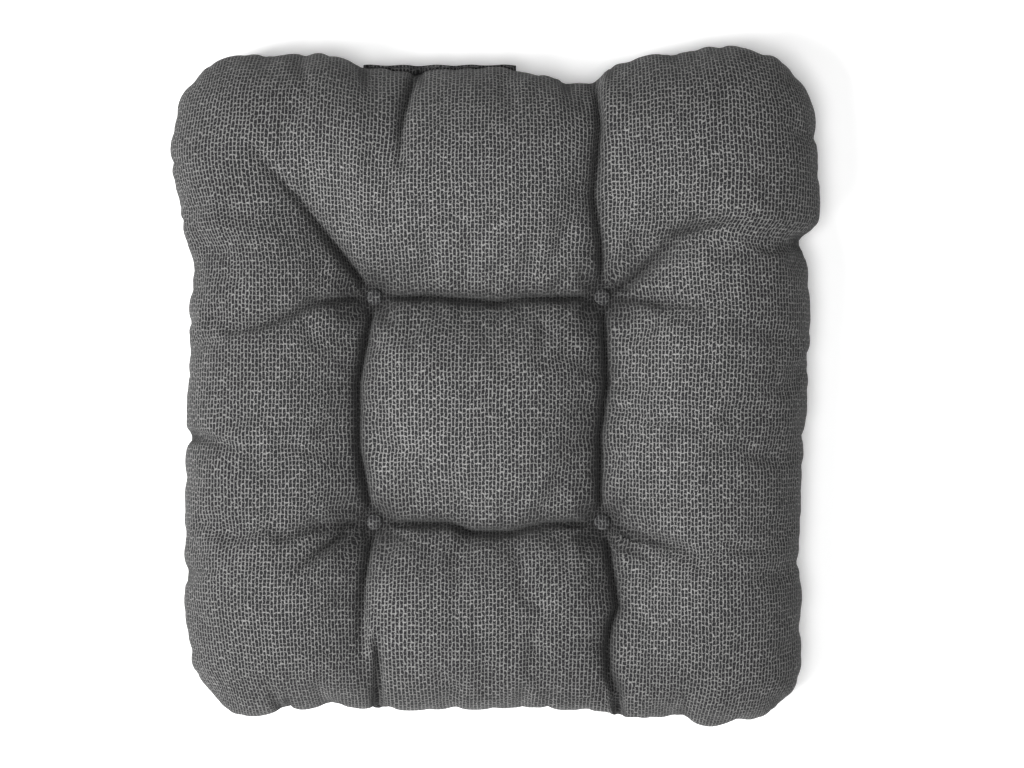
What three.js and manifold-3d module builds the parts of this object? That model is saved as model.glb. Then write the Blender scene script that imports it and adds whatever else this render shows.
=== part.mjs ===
// A button-tufted chair seat pad: two woven panels sewn round a knife edge, turned out, stuffed with
// polyester fibre through a gap in the rear seam, and pulled in at four tufts. Each tuft is a twine
// loop that ties a cloth-covered button on the top panel to its twin on the underside.
// Millimetres. +Z is up, +Y is the rear, and the origin is under the middle of the pad, on the seat.
import * as THREE from "three";
import { mergeVertices } from "three/addons/utils/BufferGeometryUtils.js";
import Module from "manifold-3d";

// Overall sizes of the stuffed pad.
const PAD_WIDTH = 460;
const PAD_DEPTH = 484;
const PAD_HEIGHT = 90;
const SEAM_HEIGHT = 41; // the knife-edge seam, above the seat
const EDGE_ROLL = 72; // how far in from the seam the rounded side reaches
const CORNER_POWER = 8; // squareness of the outline's corners
const CORNER_PUSH = 0.04; // how far the corners stand out beyond the middle of the sides, as a share

// Cloth and seams.
const CLOTH = 1.2;
const CLEARANCE = 0.3; // between any two pieces that touch
const THREAD = 0.5;
const SEAM_ALLOWANCE = 10; // turned-in edge of each panel
const SEAM_INSET = 1.5; // thread line, in from the outline
const CLOSING_LENGTH = 115; // stuffing gap in the rear seam, closed by topstitching
const CLOSING_X = -40;
const CLOSING_FLANGE = 2.6; // how far the topstitched edge stands out at the rear

// Tufts: where the four twines pass through, and how thin they pull the pad.
const TUFT_PITCH_X = 163;
const TUFT_PITCH_Y = 161;
const TUFT_CENTRE_X = -5.5;
const TUFT_CENTRE_Y = -19;
const TUFT_TOP = 42; // top panel's outer face at a tuft
const TUFT_BOTTOM = 16; // underside's outer face at a tuft
const TUFT_MARGIN = 2.5; // cloth lies flat this far beyond the button

// Creases: valleys that run between the tufts and out from them, with full pillows beside them.
const CREASE_DEPTH = 17; // halfway between two tufts
const CREASE_WIDTH = 78; // from the bottom of the valley to the top of the pillow
const CREASE_REACH = 112; // how far a crease runs out from a tuft before it fades
const CORNER_CREASE_REACH = 128; // the same for the two that run to the rear corners
const UNDERSIDE_CREASE = 4;
const UNDERSIDE_WIDTH = 34;

// Cloth-covered button, 18 ligne.
const BUTTON_RADIUS = 5.7;
const BUTTON_HEIGHT = 4.4;
const BUTTON_RIM = 0.4; // straight rim below the dome
const BUTTON_CLOTH = 0.5;
const SHELL_WALL = 0.4;
const BACK_THICKNESS = 0.8;
const SHANK_RADIUS = 1.9;
const SHANK_WIRE = 0.4; // radius of the shank's wire
const SHANK_SUNK = 0.2; // how deep the shank's top is moulded into the back
const TWINE_RADIUS = 0.55;

// Facets.
const ROUND_SEGMENTS = 12;
const WIRE_SEGMENTS = 6;
const DOME_STEPS = 4;
const PILLOW_LINES = 3; // grid lines between two tufts
const SIDE_LINES = [0.2, 0.4, 0.58, 0.73, 0.85, 0.93, 0.98, 1]; // from a tuft's edge to the outline
const OUTLINE_SAMPLES = 200;

const HALF_X = PAD_WIDTH / 2;
const HALF_Y = PAD_DEPTH / 2;
const SEAM_GAP = THREAD + 2 * CLEARANCE; // the thread lies between the two turned-in edges
const TUFT_FLAT = BUTTON_RADIUS + TUFT_MARGIN; // half the width of the flat spot under a button
// The twine's hole through cloth and fibre, wide enough for a shank between its facets.
const TUFT_HOLE = (SHANK_RADIUS + SHANK_WIRE + CLEARANCE) / Math.cos(Math.PI / ROUND_SEGMENTS);

const wasm = await Module();
wasm.setup();

// Solids: three.js geometry to and from manifold-3d, for cuts and joins.

function toSolid(geometry) {
  const bare = geometry.clone();
  bare.deleteAttribute("normal");
  bare.deleteAttribute("uv");
  const merged = mergeVertices(bare, 1e-3);
  return new wasm.Manifold(
    new wasm.Mesh({
      numProp: 3,
      vertProperties: merged.attributes.position.array,
      triVerts: new Uint32Array(merged.index.array),
    }),
  );
}

function toGeometry(solid) {
  const { vertProperties, triVerts } = solid.getMesh();
  return new THREE.BufferGeometry()
    .setAttribute("position", new THREE.BufferAttribute(vertProperties, 3))
    .setIndex(new THREE.BufferAttribute(triVerts, 1));
}

// Outline of the pad in plan. (s, t) is a point of the square from -1 to 1, and the result is how much
// the plain rectangle shrinks or grows in that direction, so that the corners are round and the sides
// pull in a little between them.

function cornerShare(s, t) {
  const reach = Math.max(Math.abs(s), Math.abs(t), 1e-9);
  const across = Math.abs(s) / reach;
  const along = Math.abs(t) / reach;
  const rounding = (across ** CORNER_POWER + along ** CORNER_POWER) ** (-1 / CORNER_POWER);
  return rounding * (1 + CORNER_PUSH * (across * along) ** 2);
}

const outlinePeak = Math.max(
  ...Array.from({ length: OUTLINE_SAMPLES + 1 }, (_, i) => cornerShare(1, i / OUTLINE_SAMPLES)),
);

// A point of the plan at (s, t), for a layer that lies `inset` inside the outline. The middle of the
// pad is a plain rectangle, and the outline's shape comes in from PLAIN_REACH to the edge.
const PLAIN_REACH = 0.5;
function planPoint(s, t, inset) {
  const reach = Math.max(Math.abs(s), Math.abs(t));
  const share = THREE.MathUtils.smoothstep(reach, PLAIN_REACH, 1);
  const scale = 1 + share * (cornerShare(s, t) - 1);
  const x = (s * scale * HALF_X) / outlinePeak;
  const y = (t * scale * HALF_Y) / outlinePeak;
  return [x * (1 - (share * inset) / HALF_X), y * (1 - (share * inset) / HALF_Y)];
}

// How far a layer has risen from the seam, from 0 at the outline to 1 where the rounded side ends.
function rise(s, t) {
  const fromEdge = Math.min((1 - Math.abs(s)) * HALF_X, (1 - Math.abs(t)) * HALF_Y);
  const left = Math.max(0, 1 - fromEdge / EDGE_ROLL);
  return Math.sqrt(1 - left * left);
}

// Tufts and creases.

const TUFTS = [
  { name: "rear_left", x: -1, y: 1 },
  { name: "rear_right", x: 1, y: 1 },
  { name: "front_left", x: -1, y: -1 },
  { name: "front_right", x: 1, y: -1 },
].map(({ name, x, y }) => ({
  name,
  x: TUFT_CENTRE_X + (x * TUFT_PITCH_X) / 2,
  y: TUFT_CENTRE_Y + (y * TUFT_PITCH_Y) / 2,
  outX: x,
  outY: y,
}));

// A crease is a straight valley from a tuft, to the next tuft or outwards to nothing. The pad is
// fullest at the rear, so there two more run from the tufts towards the corners.
const CREASES = [];
for (const tuft of TUFTS) {
  const { x, y, outX, outY } = tuft;
  CREASES.push({ from: tuft, to: { x: x + outX * CREASE_REACH, y } });
  CREASES.push({ from: tuft, to: { x, y: y + outY * CREASE_REACH } });
  const slant = CORNER_CREASE_REACH * Math.SQRT1_2;
  if (outY > 0) CREASES.push({ from: tuft, to: { x: x + outX * slant, y: y + slant } });
}
for (const [a, b] of [[0, 1], [2, 3], [0, 2], [1, 3]]) {
  CREASES.push({ from: TUFTS[a], to: TUFTS[b], joins: true });
}

const bank = (away, width) => Math.max(0, 1 - away / width) ** 2;
const fromTuft = (x, y, tuft) => Math.max(Math.abs(x - tuft.x), Math.abs(y - tuft.y));

// How deep the valleys are at (x, y): `tuft` at a tuft, `crease` halfway between two tufts, and
// nothing beyond `width` from them.
function valley(x, y, tuft, crease, width) {
  const pits = TUFTS.map((t) => tuft * bank(Math.max(0, fromTuft(x, y, t) - TUFT_FLAT), width));
  const lines = CREASES.map(({ from, to, joins }) => {
    const dx = to.x - from.x;
    const dy = to.y - from.y;
    const place = ((x - from.x) * dx + (y - from.y) * dy) / (dx * dx + dy * dy);
    const along = THREE.MathUtils.clamp(place, 0, 1);
    const away = Math.hypot(x - from.x - along * dx, y - from.y - along * dy);
    const near = joins ? Math.abs(1 - 2 * along) : 1 - along;
    const floor = joins ? crease : crease * near;
    return (floor + (tuft - crease) * near ** 3) * bank(away, width);
  });
  return Math.max(...pits, ...lines);
}

// Layers of the pad. Each gives a point at (s, t); `inset` is how deep it lies in the stuffed pad and
// `rim` the height of its outline.

const onTuftSpot = (x, y) => TUFTS.some((t) => fromTuft(x, y, t) < TUFT_FLAT + CLEARANCE);

function topLayer(inset, rim) {
  return (s, t) => {
    const [x, y] = planPoint(s, t, inset);
    const [outerX, outerY] = planPoint(s, t, 0);
    if (onTuftSpot(outerX, outerY)) return [x, y, TUFT_TOP - inset];
    const depth = valley(outerX, outerY, PAD_HEIGHT - TUFT_TOP, CREASE_DEPTH, CREASE_WIDTH);
    return [x, y, rim + (PAD_HEIGHT - inset - depth - rim) * rise(s, t)];
  };
}

function bottomLayer(inset, rim) {
  return (s, t) => {
    const [x, y] = planPoint(s, t, inset);
    const [outerX, outerY] = planPoint(s, t, 0);
    if (onTuftSpot(outerX, outerY)) return [x, y, TUFT_BOTTOM + inset];
    const lifted = valley(outerX, outerY, TUFT_BOTTOM, UNDERSIDE_CREASE, UNDERSIDE_WIDTH);
    return [x, y, rim + (inset + lifted - rim) * rise(s, t)];
  };
}

// Grid lines across the pad as shares of its half width: two beside each tuft, a few between the
// tufts, and more towards the outline, where the side is round.
function gridLines(half, low, high) {
  const share = (place) => (place * outlinePeak) / half;
  const tufts = [low - TUFT_FLAT, low + TUFT_FLAT, high - TUFT_FLAT, high + TUFT_FLAT].map(share);
  const [first, second, third, last] = tufts;
  const pillow = Array.from(
    { length: PILLOW_LINES },
    (_, i) => second + ((i + 1) / (PILLOW_LINES + 1)) * (third - second),
  );
  const before = SIDE_LINES.map((k) => first + k * (-1 - first)).reverse();
  const after = SIDE_LINES.map((k) => last + k * (1 - last));
  return [...before, first, second, ...pillow, third, last, ...after];
}

const LINES_S = gridLines(HALF_X, TUFTS[0].x, TUFTS[1].x);
const LINES_T = gridLines(HALF_Y, TUFTS[2].y, TUFTS[0].y);

// Grid corners on the outline, anticlockwise from the front left.
const RIM_CORNERS = [
  ...LINES_S.slice(0, -1).map((s) => [s, -1]),
  ...LINES_T.slice(0, -1).map((t) => [1, t]),
  ...LINES_S.slice(1).reverse().map((s) => [s, 1]),
  ...LINES_T.slice(1).reverse().map((t) => [-1, t]),
];

// A closed solid between an upper and a lower layer. `rings` are loops of the outline that its edge
// passes through on the way from the upper layer down to the lower one.
function layered(upper, lower, rings = []) {
  const points = [];
  const faces = [];
  const columns = LINES_T.length;
  const sheet = (layer) => {
    const first = points.length / 3;
    for (const s of LINES_S) for (const t of LINES_T) points.push(...layer(s, t));
    return (i, j) => first + i * columns + j;
  };
  const up = sheet(upper);
  const down = sheet(lower);
  for (let i = 0; i < LINES_S.length - 1; i++) {
    for (let j = 0; j < columns - 1; j++) {
      faces.push(up(i, j), up(i + 1, j), up(i + 1, j + 1), up(i, j), up(i + 1, j + 1), up(i, j + 1));
      faces.push(down(i, j), down(i + 1, j + 1), down(i + 1, j));
      faces.push(down(i, j), down(i, j + 1), down(i + 1, j + 1));
    }
  }
  addBands([upper, ...rings, lower], points, faces);
  return toSolid(closedGeometry(points, faces));
}

// Bands round the outline, each from one loop to the next.
function addBands(loops, points, faces) {
  const first = points.length / 3;
  const n = RIM_CORNERS.length;
  for (const loop of loops) for (const [s, t] of RIM_CORNERS) points.push(...loop(s, t));
  for (let k = 0; k < loops.length - 1; k++) {
    for (let i = 0; i < n; i++) {
      const a = first + k * n + i;
      const b = first + k * n + ((i + 1) % n);
      faces.push(a, a + n, b + n, a, b + n, b);
    }
  }
}

function closedGeometry(points, faces) {
  return new THREE.BufferGeometry()
    .setAttribute("position", new THREE.Float32BufferAttribute(points, 3))
    .setIndex(faces);
}

// A loop of the outline, `inset` inside it and at height z.
const rimLoop = (inset, z) => (s, t) => [...planPoint(s, t, inset), z];

// A ring that follows the outline, from one inset to another and from `low` to `high`.
function outlineRing(outer, inner, low, high) {
  const points = [];
  const faces = [];
  const top = rimLoop(outer, high);
  addBands([top, rimLoop(outer, low), rimLoop(inner, low), rimLoop(inner, high), top], points, faces);
  return toSolid(closedGeometry(points, faces));
}

function box(width, depth, height, x, y, z) {
  return toSolid(new THREE.BoxGeometry(width, depth, height).translate(x, y, z));
}

// The pad's two panels, its stuffing and the threads that close it.

const topRim = SEAM_HEIGHT + SEAM_GAP / 2;
const bottomRim = SEAM_HEIGHT - SEAM_GAP / 2;

function withTuftHoles(solid) {
  const drill = TUFTS.map(({ x, y }) =>
    toSolid(
      new THREE.CylinderGeometry(TUFT_HOLE, TUFT_HOLE, PAD_HEIGHT * 2, ROUND_SEGMENTS)
        .rotateX(Math.PI / 2)
        .translate(x, y, 0),
    ),
  );
  return drill.reduce((rest, hole) => rest.subtract(hole), solid);
}

// The topstitched edge that closes the stuffing gap, as the part of it on one panel.
const closingRear = HALF_Y / outlinePeak;
function closingFlange(low) {
  const depth = CLOSING_FLANGE + SEAM_ALLOWANCE / 2;
  const y = closingRear + CLOSING_FLANGE - depth / 2;
  return box(CLOSING_LENGTH, depth, CLOTH, CLOSING_X, y, low + CLOTH / 2);
}

function topPanel() {
  const allowance = [rimLoop(SEAM_ALLOWANCE, topRim), rimLoop(SEAM_ALLOWANCE, topRim + CLOTH)];
  const shell = layered(topLayer(0, topRim), topLayer(CLOTH, topRim + CLOTH), allowance);
  return withTuftHoles(shell.add(closingFlange(topRim)));
}

function bottomPanel() {
  const allowance = [rimLoop(SEAM_ALLOWANCE, bottomRim - CLOTH), rimLoop(SEAM_ALLOWANCE, bottomRim)];
  const shell = layered(bottomLayer(CLOTH, bottomRim - CLOTH), bottomLayer(0, bottomRim), allowance);
  return withTuftHoles(shell.add(closingFlange(bottomRim - CLOTH)));
}

function fibreFill() {
  const inset = CLOTH + CLEARANCE;
  const stuffing = layered(topLayer(inset, SEAM_HEIGHT), bottomLayer(inset, SEAM_HEIGHT));
  const allowanceRoom = outlineRing(
    -PAD_HEIGHT,
    SEAM_ALLOWANCE + CLEARANCE,
    bottomRim - CLOTH - CLEARANCE,
    topRim + CLOTH + CLEARANCE,
  );
  return withTuftHoles(stuffing.subtract(allowanceRoom));
}

// The seam runs all round but for the stuffing gap.
function seamThread() {
  const half = THREAD / 2;
  const ring = outlineRing(SEAM_INSET, SEAM_INSET + THREAD, SEAM_HEIGHT - half, SEAM_HEIGHT + half);
  return ring.subtract(box(CLOSING_LENGTH, SEAM_ALLOWANCE, SEAM_GAP, CLOSING_X, closingRear, SEAM_HEIGHT));
}

function closingThread() {
  const length = CLOSING_LENGTH - 2 * SEAM_INSET;
  return box(length, THREAD, THREAD, CLOSING_X, closingRear + CLOSING_FLANGE / 2, SEAM_HEIGHT);
}

// A button, with its axis along +Z and the cloth that it sits on at z = 0.

function domeLine(radius, rim, top) {
  return Array.from({ length: DOME_STEPS + 1 }, (_, i) => {
    const angle = (i / DOME_STEPS) * (Math.PI / 2);
    return new THREE.Vector2(radius * Math.sin(angle), rim + (top - rim) * Math.cos(angle));
  });
}

// A turned solid from a profile of (radius, height) points that starts and ends on the axis or closes.
function turned(profile) {
  return toSolid(new THREE.LatheGeometry(profile.reverse(), ROUND_SEGMENTS).rotateX(Math.PI / 2));
}

const shellRadius = BUTTON_RADIUS - BUTTON_CLOTH - CLEARANCE;
const backRadius = shellRadius - SHELL_WALL - CLEARANCE;
const backTop = CLEARANCE + BACK_THICKNESS;
const hemTop = CLEARANCE + BUTTON_CLOTH; // the button's cloth, turned in under the shell's rim
const shellRim = hemTop + CLEARANCE;
const domeRim = shellRim + BUTTON_RIM;

function buttonCloth() {
  const inner = domeLine(BUTTON_RADIUS - BUTTON_CLOTH, domeRim, BUTTON_HEIGHT - BUTTON_CLOTH);
  return turned([
    ...domeLine(BUTTON_RADIUS, domeRim, BUTTON_HEIGHT),
    new THREE.Vector2(BUTTON_RADIUS, CLEARANCE),
    new THREE.Vector2(backRadius + CLEARANCE, CLEARANCE),
    new THREE.Vector2(backRadius + CLEARANCE, hemTop),
    new THREE.Vector2(BUTTON_RADIUS - BUTTON_CLOTH, hemTop),
    ...inner.reverse(),
  ]);
}

function buttonShell() {
  const top = BUTTON_HEIGHT - BUTTON_CLOTH - CLEARANCE;
  const inner = domeLine(shellRadius - SHELL_WALL, domeRim, top - SHELL_WALL);
  return turned([
    ...domeLine(shellRadius, domeRim, top),
    new THREE.Vector2(shellRadius, shellRim),
    new THREE.Vector2(shellRadius - SHELL_WALL, shellRim),
    ...inner.reverse(),
  ]);
}

const shankCentre = CLEARANCE + SHANK_SUNK + SHANK_WIRE - SHANK_RADIUS;

function buttonBack() {
  const plate = turned([
    new THREE.Vector2(0, backTop),
    new THREE.Vector2(backRadius, backTop),
    new THREE.Vector2(backRadius, CLEARANCE),
    new THREE.Vector2(0, CLEARANCE),
  ]);
  const ring = new THREE.TorusGeometry(SHANK_RADIUS, SHANK_WIRE, WIRE_SEGMENTS, ROUND_SEGMENTS);
  return plate.add(toSolid(ring.rotateX(Math.PI / 2).translate(0, 0, shankCentre)));
}

// The twine of one tuft: a loop through the shanks of both buttons, drawn out straight between them.
function tuftTwine() {
  const bend = SHANK_WIRE + CLEARANCE + TWINE_RADIUS; // radius of the loop's two ends
  const shankFloor = shankCentre - SHANK_RADIUS;
  const topEnd = TUFT_TOP + shankFloor;
  const bottomEnd = TUFT_BOTTOM - shankFloor;
  const ring = new THREE.TorusGeometry(bend, TWINE_RADIUS, WIRE_SEGMENTS, ROUND_SEGMENTS);
  ring.rotateZ(Math.PI / ROUND_SEGMENTS).rotateY(Math.PI / 2);
  const places = ring.attributes.position;
  for (let i = 0; i < places.count; i++) {
    const z = places.getZ(i);
    places.setZ(i, z + (z > 0 ? topEnd : bottomEnd));
  }
  return toSolid(ring);
}

// The assembly.

const material = (color, roughness, metalness = 0) =>
  new THREE.MeshStandardMaterial({ color, roughness, metalness });
const CLOTH_GREY = material(0x5f5f60, 0.92);
const BUTTON_GREY = material(0x55555a, 0.92);
const FIBRE_WHITE = material(0xe9e7e1, 1);
const THREAD_BLACK = material(0x26262a, 0.8);
const TWINE_GREY = material(0x3a3a3e, 0.85);
const SHELL_METAL = material(0xb9bbbd, 0.35, 1);
const BACK_NYLON = material(0x2c2c2e, 0.5);

const pad = new THREE.Group();

function addPiece(parent, name, solid, look) {
  const mesh = new THREE.Mesh(toGeometry(solid), look);
  mesh.name = name;
  parent.add(mesh);
}

addPiece(pad, "top_panel", topPanel(), CLOTH_GREY);
addPiece(pad, "bottom_panel", bottomPanel(), CLOTH_GREY);
addPiece(pad, "fibre_fill", fibreFill(), FIBRE_WHITE);
addPiece(pad, "seam_thread", seamThread(), THREAD_BLACK);
addPiece(pad, "closing_thread", closingThread(), THREAD_BLACK);

for (const { name, x, y } of TUFTS) {
  const tuft = new THREE.Group();
  tuft.position.set(x, y, 0);
  addPiece(tuft, `twine_${name}`, tuftTwine(), TWINE_GREY);
  for (const side of ["top", "bottom"]) {
    const button = new THREE.Group();
    button.position.z = side === "top" ? TUFT_TOP : TUFT_BOTTOM;
    button.rotation.x = side === "top" ? 0 : Math.PI;
    addPiece(button, `${side}_button_cloth_${name}`, buttonCloth(), BUTTON_GREY);
    addPiece(button, `${side}_button_shell_${name}`, buttonShell(), SHELL_METAL);
    addPiece(button, `${side}_button_back_${name}`, buttonBack(), BACK_NYLON);
    tuft.add(button);
  }
  pad.add(tuft);
}

export default pad;
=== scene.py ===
"""Chair seat pad: two squares of coarse woven cloth sewn round the edge, filled with fibre and
tufted with four pairs of cloth-covered buttons. Metres; +X right, +Y to the rear edge, +Z up."""

import math

import bmesh
import bpy
import numpy as np
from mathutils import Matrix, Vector
from mathutils import noise as mathutils_noise


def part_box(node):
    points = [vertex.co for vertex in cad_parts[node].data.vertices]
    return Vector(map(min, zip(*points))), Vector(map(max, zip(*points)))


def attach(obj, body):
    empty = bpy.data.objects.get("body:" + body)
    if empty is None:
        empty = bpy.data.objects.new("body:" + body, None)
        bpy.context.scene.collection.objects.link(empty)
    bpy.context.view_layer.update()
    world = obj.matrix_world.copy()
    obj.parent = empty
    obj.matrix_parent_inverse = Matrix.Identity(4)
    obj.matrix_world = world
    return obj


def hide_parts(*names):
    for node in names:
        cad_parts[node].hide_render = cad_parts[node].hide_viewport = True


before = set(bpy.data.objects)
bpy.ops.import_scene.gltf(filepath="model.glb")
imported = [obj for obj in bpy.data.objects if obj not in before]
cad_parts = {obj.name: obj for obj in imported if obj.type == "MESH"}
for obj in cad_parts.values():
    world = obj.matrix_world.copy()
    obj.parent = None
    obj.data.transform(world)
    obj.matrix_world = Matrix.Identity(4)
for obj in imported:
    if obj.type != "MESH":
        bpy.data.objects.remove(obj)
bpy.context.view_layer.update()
scene = bpy.context.scene

# The camera looks straight down on the pad from two metres, with the rear edge at the top.
# A long lens keeps the sides from spreading. It stands a little right of the pad's middle.
pad_low, pad_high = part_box("top_panel")
VIEW_WIDTH = 0.725
LENS = 100.0
SENSOR = 36.0
ASIDE = (0.0113, -0.0007)
camera_data = bpy.data.cameras.new("camera")
camera_data.lens = LENS
camera_data.sensor_width = SENSOR
camera_data.clip_end = 20.0
camera = bpy.data.objects.new("camera", camera_data)
scene.collection.objects.link(camera)
camera_rise = VIEW_WIDTH * LENS / SENSOR + (pad_low.z + pad_high.z) / 2
camera.location = (*ASIDE, camera_rise)
scene.camera = camera

# The floor is a plain white sweep. Light is broad and soft: a pale surround, large soft boxes over
# the left and above, and faint ones over the front and right, so the right and rear fall darker.
SWEEP_HALF = 3.0
sweep = bmesh.new()
bmesh.ops.create_grid(sweep, x_segments=1, y_segments=1, size=SWEEP_HALF)
floor_mesh = bpy.data.meshes.new("floor")
sweep.to_mesh(floor_mesh)
sweep.free()
floor = bpy.data.objects.new("floor", floor_mesh)
scene.collection.objects.link(floor)
floor_paint = bpy.data.materials.new("floor_paint")
floor_paint.use_nodes = True
floor_shader = floor_paint.node_tree.nodes["Principled BSDF"]
floor_shader.inputs["Base Color"].default_value = (0.93, 0.93, 0.93, 1.0)
floor_shader.inputs["Roughness"].default_value = 0.9
floor_shader.inputs["Emission Color"].default_value = (1.0, 1.0, 1.0, 1.0)
floor_shader.inputs["Emission Strength"].default_value = 0.24
floor_shader.inputs["Specular IOR Level"].default_value = 0.1
floor_mesh.materials.append(floor_paint)

surround = bpy.data.worlds.new("surround")
surround.use_nodes = True
scene.world = surround
glow = surround.node_tree.nodes["Background"]
glow.inputs["Color"].default_value = (1.0, 1.0, 1.0, 1.0)
glow.inputs["Strength"].default_value = 0.11
scene.view_settings.view_transform = "Standard"


def soft_box(name, place, size, power):
    """A square area light at a place, turned to the pad."""
    light = bpy.data.lights.new(name, "AREA")
    light.shape = "SQUARE"
    light.size = size
    light.energy = power
    holder = bpy.data.objects.new(name, light)
    scene.collection.objects.link(holder)
    holder.location = place
    holder.rotation_mode = "QUATERNION"
    holder.rotation_quaternion = Vector(place).to_track_quat("Z", "Y")


soft_box("key_light", (-1.15, -0.55, 1.55), 0.8, 52.0)
soft_box("front_light", (0.0, -1.35, 1.55), 0.8, 4.0)
soft_box("fill_light", (1.30, 0.30, 1.35), 0.9, 2.0)
soft_box("top_light", (-0.25, -0.25, 2.6), 0.9, 44.0)

# The covers are two squares of the same coarse cloth, sewn together round the edge. The filling
# swells them, and four twines pull them together, so that the cloth folds into creases between the
# tufts and puckers all along the seam. This part forms both covers as one closed skin.
MM = 0.001
CELL = 0.0052
CLOTH_ACROSS = 0.520
CLOTH_DEEP = 0.545
# Heights above the seat: the seam, the pillows' tops, and the outer cloth at a tuft on both sides.
SEAM_UP = 0.041
CROWN = 0.0835
TUFT_TOP = 0.042
TUFT_UNDER = 0.016
# How far in the rounded edge reaches, and how square the outline's corners are.
EDGE_ROLL = 0.075
SQUARE_REAR = 14.0
SQUARE_FRONT = 20.0
# How far creases between tufts spread, how far the pillows give way round a tuft, and how wide
# the flat spot at a tuft is.
BETWEEN_REACH = 0.080
TUFT_REACH = 0.070
TUFT_FLAT = 0.007
# How deep each kind of crease is drawn tight once the pad is full: the last is a share of its depth.
BETWEEN_DRAWN = 0.0095
OUTWARD_DRAWN = 0.0085
FOLD_DRAWN = 0.15
# How firmly the cloth is held at the seam and on the underside, where a tuft holds with 1.
SEAM_HOLD = 0.72
UNDERSIDE_HOLD = 0.55
TUFTS = ("rear_left", "rear_right", "front_left", "front_right")
tuft = {}
for name in TUFTS:
    low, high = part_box("top_button_cloth_" + name)
    tuft[name] = ((low.x + high.x) / 2, (low.y + high.y) / 2)
half_across, half_deep = (pad_high.x - pad_low.x) / 2, (pad_high.y - pad_low.y) / 2
left_tuft, right_tuft = tuft["front_left"][0], tuft["front_right"][0]
front_tuft, rear_tuft = tuft["front_left"][1], tuft["rear_left"][1]

# How far each side is pulled in from the box along its length, in mm. The rear bulges widest.
PULLED_IN = {
    "left": [(-242, 20), (-205, 11), (-153, 7), (-100, 11), (-40, 11), (20, 13), (80, 13), (125, 4),
             (165, 0), (200, 3), (242, 8)],
    "right": [(-242, 20), (-205, 13), (-150, 12), (-60, 10), (40, 6), (92, 8), (102, 11), (120, 1),
              (150, 0), (190, 3), (242, 9)],
    "rear": [(-230, 10), (-180, 6), (-130, 5), (-100, 9), (-86, 13), (-20, 12), (40, 16), (60, 24),
             (70, 24), (82, 13), (130, 5), (165, 0), (200, 5), (230, 12)],
    "front": [(-230, 8), (-160, 6), (-120, 9), (-60, 10), (20, 11), (70, 10), (90, 5), (130, 5),
              (165, 0), (190, 6), (230, 12)],
}
# Creases from tuft to tuft: the points between, from the first tuft, and the depth half way, mm.
BETWEEN = [
    ("rear_left", "rear_right", [(41, 0), (89, -4), (107, -1)], 37),
    ("front_left", "front_right", [(54, -1), (70, -7), (99, -7), (123, -1)], 34),
    ("rear_left", "front_left", [(-11, -61), (-11, -107), (-5, -142)], 28),
    ("rear_right", "front_right", [(3, -61), (-2, -99), (-2, -139)], 35),
]
# Creases that run out from a tuft and fade: points from the tuft, first depth and reach, mm.
OUTWARD = [
    ("rear_left", [(-39, 51), (-55, 73), (-83, 106)], 43, 80),
    ("rear_right", [(22, 13), (43, 33), (75, 63)], 47, 72),
    ("rear_right", [(-2, 38), (-7, 71), (-3, 121), (-10, 158)], 28, 62),
    ("rear_left", [(-38, -3), (-71, -18), (-104, -26)], 27, 70),
    ("rear_right", [(48, -6), (84, -8)], 18, 50),
    ("front_left", [(-39, -1), (-71, -11)], 32, 62),
    ("front_right", [(32, -10), (66, -18)], 30, 60),
    ("front_left", [(-7, -42), (-8, -74), (-6, -106)], 34, 62),
    ("front_right", [(7, -42), (10, -58), (3, -82), (3, -103), (12, -136)], 36, 66),
]
# Smaller folds: points from the middle of the pad, depth at the start and reach, mm.
FOLDS = [
    ([(126, 104), (164, 117), (182, 124)], 15, 40),
    ([(-112, -110), (-135, -130), (-146, -138)], 22, 45),
    ([(86, -113), (116, -126)], 18, 36),
    ([(-84, -232), (-83, -198), (-82, -170), (-87, -135)], 22, 40),
    ([(-55, 226), (-66, 190), (-66, 150)], 15, 42),
    ([(52, 222), (50, 196)], 12, 26),
    ([(-140, 228), (-130, 196)], 8, 26),
    ([(-98, 228), (-92, 205)], 10, 24),
    ([(218, 101), (186, 92)], 14, 36),
    ([(-217, -138), (-184, -128)], 7, 28),
    ([(-215, -36), (-174, -47)], 9, 34),
    ([(-217, 26), (-184, 30)], 6, 26),
    ([(-122, -230), (-126, -206)], 9, 24),
    ([(20, -230), (22, -206)], 7, 22),
    ([(140, -234), (132, -200)], 10, 28),
]


def ease(x):
    """A smooth step from 0 to 1."""
    x = np.clip(x, 0.0, 1.0)
    return x * x * (3 - 2 * x)


def along(x, points):
    """The eased value of a given table of (place, value) pairs in mm, at x metres."""
    at = np.array([p[0] for p in points]) * MM
    value = np.array([p[1] for p in points]) * MM
    i = np.clip(np.searchsorted(at, x) - 1, 0, len(at) - 2)
    share = np.clip((x - at[i]) / (at[i + 1] - at[i]), 0, 1)
    return value[i] + (value[i + 1] - value[i]) * ease(share)


def stretch(flat, low, first, second, high, ends):
    """Carries a flat length over two tufts and two edges to where they lie in the filled pad."""
    left, a, b, right = ends
    inner = a + (flat - first) / (second - first) * (b - a)
    outer_left = left + (flat - low) / (first - low) * (a - left)
    outer_right = b + (flat - second) / (high - second) * (right - b)
    return np.where(flat < first, outer_left, np.where(flat > second, outer_right, inner))


def route_of(points, start=(0.0, 0.0)):
    """A route in metres from a list of points in mm, counted from its start."""
    return [(start[0] + a * MM, start[1] + b * MM) for a, b in points]


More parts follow.
